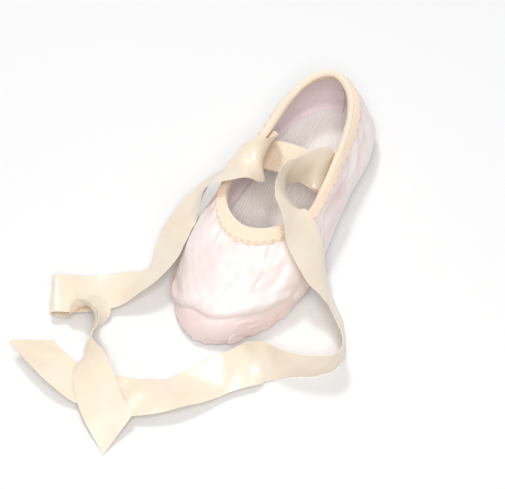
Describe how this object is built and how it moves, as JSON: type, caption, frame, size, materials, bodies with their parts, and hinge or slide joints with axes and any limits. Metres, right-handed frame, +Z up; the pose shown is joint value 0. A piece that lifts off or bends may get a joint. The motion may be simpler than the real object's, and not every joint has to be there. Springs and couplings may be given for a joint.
{
  "type": "ballet slipper",
  "caption": "Child's split-sole satin ballet slipper with an elastic throat binding, an instep elastic and two loose ankle ribbons.",
  "frame": {"origin": "under the middle of the slipper, on the plane that its sole rests on", "axes": "+Z up, +Y along the slipper from toe to heel, +X towards the wearer's left as the toe points to -Y"},
  "size_m": [0.1527, 0.2438, 0.0557],
  "materials": {
    "satin": "satin",
    "lining": "matte",
    "foam": "matte",
    "cotton": "matte",
    "suede": "napped",
    "white_thread": "matte",
    "elastic": "ribbed",
    "pink_thread": "matte",
    "ribbon": "satin"
  },
  "bodies": {
    "heel": {"quarter_left": "satin", "quarter_right": "satin", "quarter_lining_left": "lining", "quarter_lining_right": "lining", "insole_foam": "foam", "insole_cover": "cotton", "sole_patch_heel": "suede", "heel_patch_stitches": "white_thread", "throat_binding": "elastic", "binding_stitches": "pink_thread", "instep_elastic": "elastic", "strap_stitches": "pink_thread", "ribbon_left": "ribbon", "ribbon_right": "ribbon", "ribbon_stitches": "pink_thread"},
    "forefoot": {"vamp": "satin", "vamp_lining": "lining", "sole_patch_front": "suede", "patch_stitches_outer": "white_thread", "patch_stitches_inner": "white_thread"}
  },
  "joints": [
    {"name": "arch_flex", "type": "hinge", "parent": "heel", "child": "forefoot", "pos_m": [0, -0.003, 0], "axis": [1, 0, 0], "range_deg": [0, 35], "deforming": ["quarter_left", "quarter_right", "quarter_lining_left", "quarter_lining_right", "insole_foam", "insole_cover", "throat_binding", "binding_stitches"]}
  ]
}
